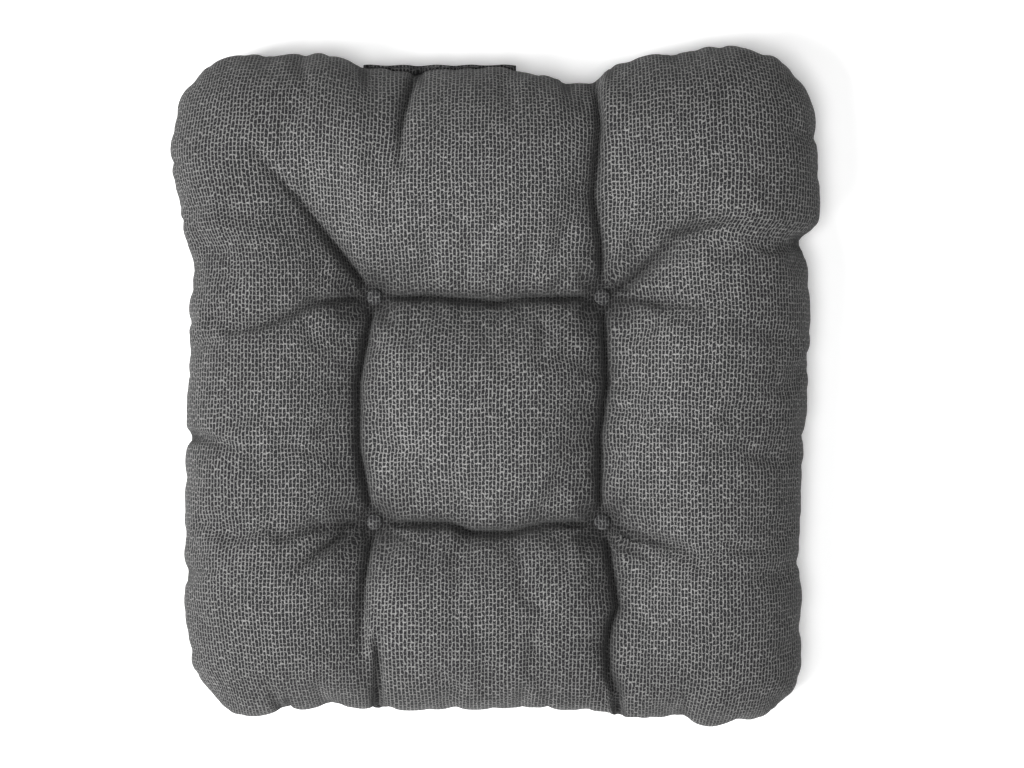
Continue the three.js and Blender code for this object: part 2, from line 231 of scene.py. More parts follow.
def to_route(x, y, points):
    """How far each point is from a route, how far along it its nearest point is, and the way there."""
    best = np.full(x.shape, np.inf)
    share = np.zeros(x.shape)
    way = np.zeros(x.shape + (2,))
    lengths = [math.dist(a, b) for a, b in zip(points, points[1:])]
    run = 0.0
    for (ax, ay), (bx, by), length in zip(points, points[1:], lengths):
        dx, dy = bx - ax, by - ay
        k = np.clip(((x - ax) * dx + (y - ay) * dy) / (length * length), 0, 1)
        d = np.hypot(x - ax - k * dx, y - ay - k * dy)
        near = d < best
        best[near] = d[near]
        share[near] = (run + k[near] * length) / sum(lengths)
        way[near] = np.stack([ax + k * dx - x, ay + k * dy - y], 1)[near]
        run += length
    return best, np.clip(share, 0, 1), way


def bank(distance, reach):
    """The rounded side of a pillow where it drops into a crease: 1 in the crease, 0 at reach."""
    steep_below, flat_above = 0.68, 1.35
    return np.clip(1 - (distance / reach) ** steep_below, 0, 1) ** flat_above


def hold(distance):
    """How firmly a crease holds the cloth: fully within 2 mm of its bottom, and not at all at 7 mm."""
    return np.clip(1.4 - distance / 0.005, 0, 1)


across = round(CLOTH_ACROSS / CELL)
deep = round(CLOTH_DEEP / CELL)
skin = bmesh.new()
bmesh.ops.create_grid(skin, x_segments=across, y_segments=deep, size=1.0)
for vert in skin.verts:
    vert.co.z = 0.0 if vert.is_boundary else 1.0
everything = skin.verts[:] + skin.edges[:] + skin.faces[:]
bmesh.ops.mirror(skin, geom=everything, axis="Z", merge_dist=1e-5)
bmesh.ops.recalc_face_normals(skin, faces=skin.faces)
skin.verts.index_update()
skin.faces.index_update()

net = np.array([v.co for v in skin.verts])
s, t, side = net[:, 0], net[:, 1], np.sign(np.round(net[:, 2]))
out = np.maximum(np.maximum(abs(s), abs(t)), 1e-9)
power = np.where(t > 0, SQUARE_REAR, SQUARE_FRONT)
rounding = ((abs(s) / out) ** power + (abs(t) / out) ** power) ** (-1 / power)
rounding = 1 + ease((out - 0.5) / 0.5) * (rounding - 1)
half_u, half_v = CLOTH_ACROSS / 2, CLOTH_DEEP / 2
# Where the twines go through the flat cloth: further out than in the pad, as the cloth crowns.
first_u, second_u = -0.097, 0.085
first_v, second_v = -0.1075, 0.0695
flat_u, flat_v = s * half_u, t * half_v
place_x = np.interp(flat_u, [-half_u, first_u, second_u, half_u],
                    [-half_across, left_tuft, right_tuft, half_across])
place_y = np.interp(flat_v, [-half_v, first_v, second_v, half_v],
                    [-half_deep, front_tuft, rear_tuft, half_deep])
ends_x = (along(place_y, PULLED_IN["left"]) - half_across, left_tuft, right_tuft,
          half_across - along(place_y, PULLED_IN["right"]))
ends_y = (along(place_x, PULLED_IN["front"]) - half_deep, front_tuft, rear_tuft,
          half_deep - along(place_x, PULLED_IN["rear"]))
x = stretch(flat_u, -half_u, first_u, second_u, half_u, ends_x) * rounding
y = stretch(flat_v, -half_v, first_v, second_v, half_v, ends_y) * rounding
inward = np.minimum((1 - abs(s)) * half_across, (1 - abs(t)) * half_deep)
rise = np.sqrt(1 - np.clip(1 - inward / EDGE_ROLL, 0, 1) ** 2)

pit = CROWN - TUFT_TOP
sunk = np.zeros_like(x)
held = np.zeros_like(x)
creases = []
for start, end, points, middle in BETWEEN:
    route = [tuft[start]] + route_of(points, tuft[start]) + [tuft[end]]
    creases.append((route, BETWEEN_DRAWN, "even"))
    distance, share, way = to_route(x, y, route)
    bottom = middle * MM + (pit - middle * MM) * (2 * share - 1) ** 2
    sunk = np.maximum(sunk, bottom * bank(distance, BETWEEN_REACH))
    held = np.maximum(held, hold(distance))
for start, points, first, reach in OUTWARD:
    route = [tuft[start]] + route_of(points, tuft[start])
    creases.append((route, OUTWARD_DRAWN, "late"))
    distance, share, way = to_route(x, y, route)
    bottom = first * MM * (1 - share) ** 0.7
    bottom = bottom + np.maximum(pit - first * MM, 0) * (1 - share) ** 4
    sunk = np.maximum(sunk, bottom * bank(distance, reach * MM))
    held = np.maximum(held, hold(distance) * np.clip(1.25 * (1 - share), 0, 1))
for points, first, reach in FOLDS:
    route = route_of(points)
    creases.append((route, first * MM * FOLD_DRAWN, "late"))
    distance, share, way = to_route(x, y, route)
    bottom = first * MM * (1 - share) ** 0.7
    sunk = np.maximum(sunk, bottom * bank(distance, reach * MM))
# Sharp lines in the folds, where cloth lies against cloth: points from the pad's middle and depth
# in mm, and whether a line keeps its depth or fades softly to its end.
SHARP = [
    ([(-91, -110), (-94, -142), (-95, -174), (-93, -208)], 6.0, "soft"),
    ([(-84, -236), (-83, -198), (-83, -165), (-86, -124)], 6.0, "soft"),
    ([(79, -114), (84, -142), (86, -158), (81, -170), (79, -186), (80, -203), (87, -218), (87, -238)],
     8.0, "even"),
    ([(66, 232), (72, 200), (73, 176), (69, 132), (76, 84)], 6.5, "even"),
    ([(-58, 226), (-67, 180), (-66, 128)], 6.5, "soft"),
    ([(128, 106), (160, 116), (184, 124)], 6.0, "soft"),
    ([(-106, -107), (-127, -121), (-150, -141)], 6.5, "soft"),
    ([(82, -111), (100, -120), (126, -131)], 5.5, "soft"),
    ([(-81, -103), (-68, -110), (-40, -118)], 5.0, "soft"),
    ([(72, -106), (52, -110), (26, -112)], 5.0, "soft"),
    ([(-217, -36), (-195, -40), (-165, -48)], 5.0, "soft"),
    ([(-150, -236), (-157, -222), (-160, -200)], 6.5, "soft"),
]
for points, deepest, fades in SHARP:
    creases.append((route_of(points), deepest * MM, fades))
for tx, ty in tuft.values():
    round_tuft = np.maximum(np.hypot(x - tx, y - ty) - TUFT_FLAT, 0)
    sunk = np.maximum(sunk, pit * np.clip(1 - round_tuft / TUFT_REACH, 0, 1) ** 2)
over = SEAM_UP + (CROWN - SEAM_UP - sunk) * rise
under_share = 0.8 * TUFT_UNDER / pit
under = SEAM_UP + (sunk * under_share - SEAM_UP) * rise
z = np.where(side > 0, over, np.where(side < 0, under, SEAM_UP))

# What holds the cloth: the twines hold hard, the creases and the underside less, the seam between.
PIN_RADIUS = 0.008
weight = np.where(side > 0, held, UNDERSIDE_HOLD)
rim = side == 0
weight[rim] = SEAM_HOLD
flat_x, flat_y = flat_u * rounding, flat_v * rounding
for name in TUFTS:
    tx, ty = tuft[name]
    fu = first_u if name.endswith("left") else second_u
    fv = first_v if name.startswith("front") else second_v
    under_button = np.hypot(flat_x - fu, flat_y - fv) < PIN_RADIUS
    for level, which in ((TUFT_TOP, 1), (TUFT_UNDER, -1)):
        pinned = under_button & (side == which)
        weight[pinned] = 1.0
        x[pinned] = tx + flat_x[pinned] - fu
        y[pinned] = ty + flat_y[pinned] - fv
        z[pinned] = level
SLACK_EDGE = 0.030
slack = np.where(rim, 1.0, np.clip(1 - inward / SLACK_EDGE, 0, 1))

# The cloth's own lengths, for its weave: over the steep roll at the edge it runs further than it spans.
ROLL_STEPS = 300
roll = np.linspace(0.0, EDGE_ROLL, ROLL_STEPS + 1)
roll_up = (CROWN - SEAM_UP) * np.sqrt(1 - (1 - roll / EDGE_ROLL) ** 2)
longer = np.hypot(np.diff(roll), np.diff(roll_up)) - np.diff(roll)
extra = np.append(np.cumsum(longer[::-1])[::-1], 0.0)
flat_x = flat_x + np.sign(s) * np.interp((1 - abs(s)) * half_across, roll, extra)
flat_y = flat_y + np.sign(t) * np.interp((1 - abs(t)) * half_deep, roll, extra)

formed = np.stack([x, y, z], 1)
pattern = skin.loops.layers.uv.new("flat_pattern")
for face in skin.faces:
    for loop in face.loops:
        i = loop.vert.index
        loop[pattern].uv = (flat_x[i], flat_y[i])
    face.smooth = True
skin_mesh = bpy.data.meshes.new("skin")
skin.to_mesh(skin_mesh)
skin.free()
skin_mesh.vertices.foreach_set("co", formed.ravel())


def fill_skin(mesh):
    """Swells the sewn skin with Blender's cloth until it holds its filling, and gives its points."""
    body = bpy.data.objects.new("skin", mesh)
    scene.collection.objects.link(body)
    body.shape_key_add(name="Basis")
    pins = body.vertex_groups.new(name="pins")
    loose = body.vertex_groups.new(name="loose")
    for i in range(len(mesh.vertices)):
        if weight[i] > 0:
            pins.add([i], float(weight[i]), "REPLACE")
        if slack[i] > 0:
            loose.add([i], float(slack[i]), "REPLACE")
    cloth = body.modifiers.new("Cloth", "CLOTH")
    yarn = cloth.settings
    yarn.quality = 5
    yarn.mass = 0.02
    yarn.air_damping = 1.0
    yarn.tension_stiffness = yarn.compression_stiffness = 40.0
    yarn.shear_stiffness = 20.0
    yarn.bending_stiffness = 0.01
    yarn.tension_damping = yarn.compression_damping = yarn.shear_damping = 5.0
    yarn.bending_damping = 0.5
    yarn.vertex_group_mass = "pins"
    yarn.pin_stiffness = 1.0
    # The cloth is cut 4.5% larger than the form, and 12% along the seam, where it puckers.
    yarn.vertex_group_shrink = "loose"
    yarn.shrink_min = -0.045
    yarn.shrink_max = -0.12
    held_air = bmesh.new()
    held_air.from_mesh(mesh)
    room = held_air.calc_volume()
    held_air.free()
    yarn.use_pressure = True
    yarn.uniform_pressure_force = 0.0
    yarn.pressure_factor = 200.0
    yarn.use_pressure_volume = True
    yarn.target_volume = abs(room) * 1.25
    yarn.effector_weights.gravity = 0.0
    cloth.collision_settings.use_collision = False
    cloth.collision_settings.use_self_collision = False
    steps = 40
    cloth.point_cache.frame_start = 1
    cloth.point_cache.frame_end = steps
    for step in range(1, steps + 1):
        scene.frame_set(step)
    graph = bpy.context.evaluated_depsgraph_get()
    swollen = body.evaluated_get(graph).to_mesh()
    points = np.empty(len(swollen.vertices) * 3)
    swollen.vertices.foreach_get("co", points)
    points = points.reshape(-1, 3).copy()
    body.evaluated_get(graph).to_mesh_clear()
    body.shape_key_clear()
    bpy.data.objects.remove(body)
    scene.frame_set(1)
    return points


points = fill_skin(skin_mesh)


def settle_side(cloth, axis, way, half, calm):
    """Moves one side of the pad out or in to its half size, and leaves what is nearer than calm."""
    reach = (cloth[:, axis] * way).max()
    share = ease((cloth[:, axis] * way - calm) / (reach - calm))
    cloth[:, axis] += way * (half - reach) * share


def lie_on_seat(cloth, round_off):
    """Keeps all of the cloth above the seat, which flattens the underside, and rounds its edge off."""
    cloth[:, 2] = (cloth[:, 2] + np.sqrt(cloth[:, 2] ** 2 + round_off ** 2)) / 2


# The pillows settle to the pad's real outline, and the underside lies flat on the seat.
for axis, half, calm in ((0, half_across, 0.100), (1, half_deep, 0.110)):
    for way in (-1, 1):
        settle_side(points, axis, way, half, calm)
lie_on_seat(points, round_off=0.0016)
skin_mesh.vertices.foreach_set("co", points.ravel())
for label, value in (("side", side), ("net_s", s), ("net_t", t)):
    kept = skin_mesh.attributes.new(label, "FLOAT", "POINT")
    kept.data.foreach_set("value", value.astype(np.float32))
skin_mesh.update()

# One subdivision rounds the cloth off. Then the creases are drawn tight: their lips lean in over a
# narrow valley, deepest at the tufts, and the seam is pulled in unevenly by its stitches.
round_skin = bpy.data.objects.new("round_skin", skin_mesh)
scene.collection.objects.link(round_skin)
finer = round_skin.modifiers.new("finer", "SUBSURF")
finer.levels = finer.render_levels = 1
graph = bpy.context.evaluated_depsgraph_get()
fine_mesh = bpy.data.meshes.new_from_object(round_skin.evaluated_get(graph))
bpy.data.objects.remove(round_skin)
fine = np.empty(len(fine_mesh.vertices) * 3)
fine_mesh.vertices.foreach_get("co", fine)
fine = fine.reshape(-1, 3)
fine_side, fine_s, fine_t = (np.empty(len(fine), np.float32) for _ in range(3))
for label, value in (("side", fine_side), ("net_s", fine_s), ("net_t", fine_t)):
    fine_mesh.attributes[label].data.foreach_get("value", value)


def along_crease(share, fades):
    """How strong a crease is along its length: even, or fading to its end, early or late."""
    if fades == "late":
        return np.clip(1.1 * (1 - share), 0, 1) ** 0.7
    if fades == "soft":
        return ease(1.15 * (1 - share))
    return np.ones_like(share)


# A drawn crease: the width of its valley, how far off its lips lean in, how much, and from what depth
# on in full. Near a button it stops, as the cloth is flat there.
VALLEY = 0.0032
LIP_REACH = 0.010
LIP_LEAN = 0.32
FULL_LEAN_DEPTH = 0.006
BUTTON_CLEAR = 0.008
top = fine_side > 1e-4
at_x, at_y = fine[top, 0].copy(), fine[top, 1].copy()
drop, lean = np.zeros(len(at_x)), np.zeros((len(at_x), 2))
from_tuft = np.min([np.hypot(at_x - tx, at_y - ty) for tx, ty in tuft.values()], axis=0)
free = np.clip((from_tuft - BUTTON_CLEAR) / BUTTON_CLEAR, 0, 1)
for route, deepest, fades in creases:
    distance, share, way = to_route(at_x, at_y, route)
    strength = along_crease(share, fades)
    drop = np.maximum(drop, deepest * strength * np.exp(-(distance / VALLEY) ** 2))
    near_lip = np.exp(-(distance / LIP_REACH) ** 2)
    pull = LIP_LEAN * strength * min(1.0, deepest / FULL_LEAN_DEPTH) * near_lip
    stronger = pull * distance > np.hypot(lean[:, 0], lean[:, 1])
    lean[stronger] = (way * pull[:, None])[stronger]
fine[top, 2] -= drop * free
fine[top, 0] += lean[:, 0] * free
fine[top, 1] += lean[:, 1] * free

# Gathers along the seam: where each lies on its side of the pad in mm, how deep it is at the seam,
# its width and how far it runs in. Smaller ones lie between them, about 15 mm apart, set by a
# seeded draw.
GATHERS = {
    "rear": [(-158, 2.6, 6, 30), (-97, 3.6, 6, 45), (-55, 3.4, 6, 50), (50, 4.0, 6, 45), (66, 2.0, 5, 25),
             (79, 3.6, 5, 50), (128, 2.8, 5, 24), (159, 2.8, 5, 26)],
    "front": [(-147, 5.5, 5, 30), (-112, 2.2, 6, 30), (-87, 3.4, 6, 60), (36, 2.2, 6, 26),
              (88, 3.6, 6, 60), (132, 3.0, 6, 30), (196, 2.6, 6, 28)],
    "left": [(157, 2.2, 6, 24), (20, 2.0, 7, 28), (-40, 2.6, 7, 36), (-134, 2.8, 7, 36), (70, 1.5, 7, 25)],
    "right": [(100, 3.4, 6, 40), (150, 2.0, 6, 24), (10, 2.0, 7, 30), (-60, 2.0, 7, 26),
              (-128, 2.2, 7, 28)],
}
GATHER_PITCH = 15.0
SLANT = 0.25
draw = np.random.RandomState(11)
sides = {"rear": (1, 1, half_across), "front": (1, -1, half_across),
         "left": (0, -1, half_deep), "right": (0, 1, half_deep)}
gathered = np.zeros(len(fine))
for name, (axis, way, half) in sides.items():
    net_along, net_out = (fine_s, fine_t) if axis == 1 else (fine_t, fine_s)
    place_along = fine[:, 1 - axis]
    from_seam = (1 - np.clip(net_out * way, 0, 1)) * (half_deep if axis == 1 else half_across)
    near_side = ease((net_out * way - abs(net_along) * 0.80) / 0.1)
    small = [(p + draw.uniform(-9, 9), draw.uniform(0.3, 2.2), draw.uniform(2.8, 6.5),
              draw.uniform(10, 32))
             for p in np.arange(-half * 1000 + 14, half * 1000 - 10, GATHER_PITCH)]
    for place, deepness, wide, reach in GATHERS[name] + small:
        slant = draw.uniform(-SLANT, SLANT)
        off = place_along - place * MM - slant * from_seam
        spread = wide * MM * (1 + from_seam / (reach * 2 * MM))
        valley = np.exp(-np.abs(off / spread) ** 1.2)
        fade = np.clip(1 - from_seam / (reach * MM), 0, 1) ** 1.3
        gathered += deepness * MM * valley * fade * near_side
fine_mesh.vertices.foreach_set("co", fine.ravel())
fine_mesh.update()
normals = np.empty(len(fine) * 3, np.float32)
fine_mesh.vertices.foreach_get("normal", normals)
fine -= normals.reshape(-1, 3) * gathered[:, None]
# The filling is uneven, so that the edge stands out at some corners and is slack at others, by the
# closing seam and along the left: where, how far the edge moves and how wide a stretch of it, mm.
SETTLED = [
    (222, 234, 2, 0, 50), (222, -234, -1, -7, 45), (-222, 234, 3, -1, 55), (-222, -234, 7, 7, 55),
    (-178, -234, -2, -5, 17), (-125, -238, 0, 4, 32), (-222, -156, 3, 0, 30), (226, -100, -3, 0, 45),
    (-43, 238, 0, -5, 55), (44, 234, 0, -7, 22), (-222, 108, 5, 0, 38), (-222, 20, 1, 0, 60),
]
for ox, oy, dx, dy, wide in SETTLED:
    share = np.exp(-(np.hypot(fine[:, 0] - ox * MM, fine[:, 1] - oy * MM) / (wide * MM)) ** 2)
    fine[:, 0] += dx * MM * share
    fine[:, 1] += dy * MM * share
# The stitches pull the seam in later, so each side stands out a little further for now.
for axis, way, half in ((0, -1, half_across + 0.003), (0, 1, half_across + 0.0018),
                        (1, -1, half_deep + 0.004), (1, 1, half_deep - 0.0005)):
    settle_side(fine, axis, way, half, calm=0.13)
lie_on_seat(fine, round_off=0.0012)
fine_mesh.vertices.foreach_set("co", fine.ravel())

# Painted shade: how deep in the folds each point lies, from 0 to 1, darkens the cloth's colour where
# little light gets in. The bottom of a crease is darkest, then a dim band beside it, the tufts, the
# gathers, and the sides that fall to the seam.
FULL_SHADE_DEPTH = 0.008
LINE_REACH = 0.0040
BAND_REACH = 0.017
TUFT_SHADE_REACH = 0.021
SIDE_SHADE_REACH = 0.125
UNDERSIDE_SHADE = 0.3
painted_fold_shade = np.zeros(len(fine))
for route, deepest, fades in creases:
    distance, share, way = to_route(fine[:, 0], fine[:, 1], route)
    strength = along_crease(share, fades) * min(1.0, deepest / FULL_SHADE_DEPTH)
    line, band = np.exp(-distance / LINE_REACH), np.exp(-distance / BAND_REACH)
    painted_fold_shade = np.maximum(painted_fold_shade, strength * (0.55 * line + 0.45 * band))
# Painted shade round each tuft.
for tx, ty in tuft.values():
    distance = np.maximum(np.hypot(fine[:, 0] - tx, fine[:, 1] - ty) - 0.005, 0)
    painted_fold_shade = np.maximum(painted_fold_shade, 0.95 * np.exp(-distance / TUFT_SHADE_REACH))
# Painted shade in the gathers, and on the sides as they roll down to the seam.
painted_fold_shade = np.maximum(painted_fold_shade, np.clip(gathered / 0.0035, 0, 0.8))
by_seam = np.minimum((1 - abs(fine_s)) * half_across, (1 - abs(fine_t)) * half_deep)
painted_fold_shade = np.maximum(painted_fold_shade, 0.42 * ease(1 - by_seam / SIDE_SHADE_REACH))
# The underside gets less of the painted shade.
painted_fold_shade[fine_side < 0] *= UNDERSIDE_SHADE
painted_shade_attribute = fine_mesh.attributes.new("painted_fold_shade", "FLOAT", "POINT")
painted_shade_attribute.data.foreach_set("value", painted_fold_shade.astype(np.float32))
fine_mesh.update()


def feed(tree, socket, value):
    """Links a socket to an output, or sets its number or colour."""
    if isinstance(value, bpy.types.NodeSocket):
        tree.links.new(value, socket)
    else:
        socket.default_value = value


def maths(tree, operation, *values, clamp=False):
    """One Math node."""
    node = tree.nodes.new("ShaderNodeMath")
    node.operation = operation
    node.use_clamp = clamp
    for socket, value in zip(node.inputs, values):
        feed(tree, socket, value)
    return node.outputs[0]


def ramp(tree, value, low, high, out_low=0.0, out_high=1.0):
    """A smooth step of a value between two bounds."""
    node = tree.nodes.new("ShaderNodeMapRange")
    node.interpolation_type = "SMOOTHSTEP"
    for label, v in (("Value", value), ("From Min", low), ("From Max", high),
                     ("To Min", out_low), ("To Max", out_high)):
        feed(tree, node.inputs[label], v)
    return node.outputs["Result"]


def noise(tree, vector, scale, detail=2.0, rough=0.5):
    """A noise value about 0.5 at so many grains a metre."""
    node = tree.nodes.new("ShaderNodeTexNoise")
    feed(tree, node.inputs["Vector"], vector)
    node.inputs["Scale"].default_value = scale
    node.inputs["Detail"].default_value = detail
    node.inputs["Roughness"].default_value = rough
    return node.outputs["Fac"]


def blend(tree, share, first, second, kind="MIX"):
    """A colour mixed from two."""
    node = tree.nodes.new("ShaderNodeMix")
    node.data_type = "RGBA"
    node.blend_type = kind
    feed(tree, node.inputs[0], share)
    feed(tree, node.inputs[6], first)
    feed(tree, node.inputs[7], second)
    return node.outputs[2]


def bump(tree, height, depth, strength=1.0):
    """A Bump node over a height from 0 to 1 that stands for so many metres."""
    node = tree.nodes.new("ShaderNodeBump")
    node.inputs["Strength"].default_value = strength
    node.inputs["Distance"].default_value = depth
    feed(tree, node.inputs["Height"], height)
    return node.outputs["Normal"]


def combine(tree, a, b, c=0.0):
    """A vector of three values."""
    node = tree.nodes.new("ShaderNodeCombineXYZ")
    for socket, value in zip(node.inputs, (a, b, c)):
        feed(tree, socket, value)
    return node.outputs[0]


# The coarse cloth: dark columns between light upright yarns, broken by light cross yarns that step
# from column to column. One group draws it from the cloth's flat pattern, in metres.
weave = bpy.data.node_groups.new("coarse_weave", "ShaderNodeTree")
for label, kind in (("Pattern", "NodeSocketVector"), ("Light Yarn", "NodeSocketColor"),
                    ("Dark Yarn", "NodeSocketColor"), ("Column", "NodeSocketFloat"),
                    ("Cross", "NodeSocketFloat"), ("Wobble", "NodeSocketFloat")):
    weave.interface.new_socket(name=label, in_out="INPUT", socket_type=kind)
for label, kind in (("Color", "NodeSocketColor"), ("Height", "NodeSocketFloat"),
                    ("Roughness", "NodeSocketFloat")):
    weave.interface.new_socket(name=label, in_out="OUTPUT", socket_type=kind)
weave_in = weave.nodes.new("NodeGroupInput")
weave_out = weave.nodes.new("NodeGroupOutput")
# Where a point lies in the weave: the columns sway a little and drift, and each third one steps.
flat = weave_in.outputs["Pattern"]
split = weave.nodes.new("ShaderNodeSeparateXYZ")
feed(weave, split.inputs[0], flat)
sway = maths(weave, "SUBTRACT", noise(weave, flat, 340.0, 2.0, 0.6), 0.5)
sway = maths(weave, "MULTIPLY", sway, weave_in.outputs["Wobble"])
drift = maths(weave, "SUBTRACT", noise(weave, flat, 22.0, 1.0), 0.5)
column = maths(weave, "DIVIDE", split.outputs["X"], weave_in.outputs["Column"])
column = maths(weave, "ADD", maths(weave, "ADD", column, sway), maths(weave, "MULTIPLY", drift, 0.8))
number = maths(weave, "FLOOR", column)
across_column = maths(weave, "ABSOLUTE", maths(weave, "SUBTRACT", maths(weave, "FRACT", column), 0.5))
chance = weave.nodes.new("ShaderNodeTexWhiteNoise")
chance.noise_dimensions = "1D"
feed(weave, chance.inputs["W"], number)
third = maths(weave, "FLOORED_MODULO", number, 3.0)
step = maths(weave, "MULTIPLY", maths(weave, "GREATER_THAN", third, 1.5), 0.5)
step = maths(weave, "ADD", step, maths(weave, "MULTIPLY", chance.outputs["Value"], 0.22))
row = maths(weave, "DIVIDE", split.outputs["Y"], weave_in.outputs["Cross"])
uneven = maths(weave, "SUBTRACT", noise(weave, flat, 330.0, 2.0, 0.6), 0.5)
row = maths(weave, "ADD", maths(weave, "ADD", row, step), maths(weave, "MULTIPLY", uneven, 0.55))
row_number = maths(weave, "FLOOR", row)
along_row = maths(weave, "ABSOLUTE", maths(weave, "SUBTRACT", maths(weave, "FRACT", row), 0.5))
half_row = maths(weave, "ABSOLUTE", maths(weave, "SUBTRACT", along_row, 0.5))
picked = weave.nodes.new("ShaderNodeTexWhiteNoise")
picked.noise_dimensions = "2D"
feed(weave, picked.inputs["Vector"], combine(weave, number, row_number))
# The light yarns: those between the columns, one cross yarn to each row, and fainter ones between.
upright = ramp(weave, across_column, 0.28, 0.44)
link = ramp(weave, along_row, 0.092, 0.035)
second_link = ramp(weave, half_row, 0.072, 0.02)
faint = ramp(weave, picked.outputs["Value"], 0.1, 0.9, 0.2, 1.0)
second_link = maths(weave, "MULTIPLY", second_link, faint)
light = maths(weave, "MAXIMUM", maths(weave, "MAXIMUM", upright, link), second_link)
# The tone: slubs thin the light yarns out, and single fibres and a wide mottle shade both.
fibres = noise(weave, flat, 2600.0, 3.0, 0.7)
slub = noise(weave, flat, 420.0, 2.0, 0.6)
mottle = noise(weave, flat, 60.0, 3.0, 0.6)
light = maths(weave, "MULTIPLY", light, ramp(weave, slub, 0.25, 0.75, 0.62, 1.15), clamp=True)
tone = blend(weave, light, weave_in.outputs["Dark Yarn"], weave_in.outputs["Light Yarn"])
shade = maths(weave, "MULTIPLY", ramp(weave, fibres, 0.2, 0.8, 0.78, 1.22),
              ramp(weave, mottle, 0.2, 0.8, 0.86, 1.14))
grey = combine(weave, shade, shade, shade)
tone = blend(weave, 1.0, tone, grey, "MULTIPLY")
feed(weave, weave_out.inputs["Color"], tone)
raised = maths(weave, "MULTIPLY", light, 0.8)
height = maths(weave, "ADD", raised, maths(weave, "MULTIPLY", fibres, 0.35))
feed(weave, weave_out.inputs["Height"], height)
feed(weave, weave_out.inputs["Roughness"], ramp(weave, fibres, 0.2, 0.8, 0.82, 0.98))


def cloth_finish(name, light_yarn, dark_yarn, depth, painted_shade_deepest):
    """The coarse weave on a piece's own flat pattern, and how much of its colour the painted shade leaves
    in the deepest folds.
    """
    material = bpy.data.materials.new(name)
    material.use_nodes = True
    tree = material.node_tree
    shader = tree.nodes["Principled BSDF"]
    flat_cloth = tree.nodes.new("ShaderNodeUVMap")
    flat_cloth.uv_map = "flat_pattern"
    cloth = tree.nodes.new("ShaderNodeGroup")
    cloth.node_tree = weave
    tree.links.new(flat_cloth.outputs["UV"], cloth.inputs["Pattern"])
    cloth.inputs["Light Yarn"].default_value = light_yarn
    cloth.inputs["Dark Yarn"].default_value = dark_yarn
    cloth.inputs["Column"].default_value = 0.00282
    cloth.inputs["Cross"].default_value = 0.0068
    cloth.inputs["Wobble"].default_value = 0.85
    colour = cloth.outputs["Color"]
    # Painted shade: the colour darkens with how deep in the folds each point lies.
    if painted_shade_deepest < 1.0:
        painted_shade_attribute = tree.nodes.new("ShaderNodeAttribute")
        painted_shade_attribute.attribute_name = "painted_fold_shade"
        shade = ramp(tree, painted_shade_attribute.outputs["Fac"], 0.0, 1.0, 1.0, painted_shade_deepest)
        colour = blend(tree, 1.0, colour, combine(tree, shade, shade, shade), "MULTIPLY")
    tree.links.new(colour, shader.inputs["Base Color"])
    tree.links.new(cloth.outputs["Roughness"], shader.inputs["Roughness"])
    tree.links.new(bump(tree, cloth.outputs["Height"], depth), shader.inputs["Normal"])
    shader.inputs["Specular IOR Level"].default_value = 0.18
    shader.inputs["Sheen Weight"].default_value = 0.08
    shader.inputs["Sheen Roughness"].default_value = 0.6
    return material


COVER_LIGHT = (0.238, 0.236, 0.231, 1.0)
COVER_DARK = (0.0134, 0.0134, 0.0148, 1.0)
# The cover keeps 16% of its colour under the deepest painted shade.
cover_cloth = cloth_finish("cover_cloth", COVER_LIGHT, COVER_DARK, 0.0007, 0.16)

# The top and underside covers part along the seam. Each is turned in at the edge, where the stitches
# pull the seam a little below the pillows, and each has four holes that the twines go through.
SEAM_PULL = 0.0018
PUCKERS_PER_METRE = 75
SEAM_GAP = 0.0003
CLOTH_THICK = 0.0011
HOLE = 0.0024
# The lip: how far the edges that were sewn shut after filling stand out, and how they part and wave.
LIP_DEPTH = 0.0045
LIP_PART = 0.0011
LIP_WAVE = 0.0004
LIP_WAVES = 260
REAR_ONLY = 0.15
closing_low, closing_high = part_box("closing_thread")


def open_hole(work, place, level, radius):
    """Opens a round hole for the twine in the layer that is nearest to a level, and gives its rim."""
    middle = min(work.verts, key=lambda v: (v.co - Vector((*place, level))).length)
    ring = {v for f in middle.link_faces for v in f.verts} - {middle}
    bmesh.ops.delete(work, geom=[middle], context="VERTS")
    for v in ring:
        way = Vector((v.co.x - place[0], v.co.y - place[1], 0.0))
        way.normalize()
        v.co.x = place[0] + way.x * radius
        v.co.y = place[1] + way.y * radius
    return [e for v in ring for e in v.link_edges if e.is_boundary]


def seam_place(place):
    """Where the seam lies, pulled in from the edge of the skin by its stitches."""
    spot = Vector((place.x * PUCKERS_PER_METRE, place.y * PUCKERS_PER_METRE, 0.0))
    pucker = 0.5 + 0.5 * mathutils_noise.noise(spot)
    toward = Vector((-place.x, -place.y, 0.0)).normalized()
    return place + toward * SEAM_PULL * (0.4 + 1.4 * pucker)


def in_closing(place):
    """Whether a point of the seam is in the part that was sewn shut after filling."""
    return place.y > REAR_ONLY and closing_low.x < place.x < closing_high.x


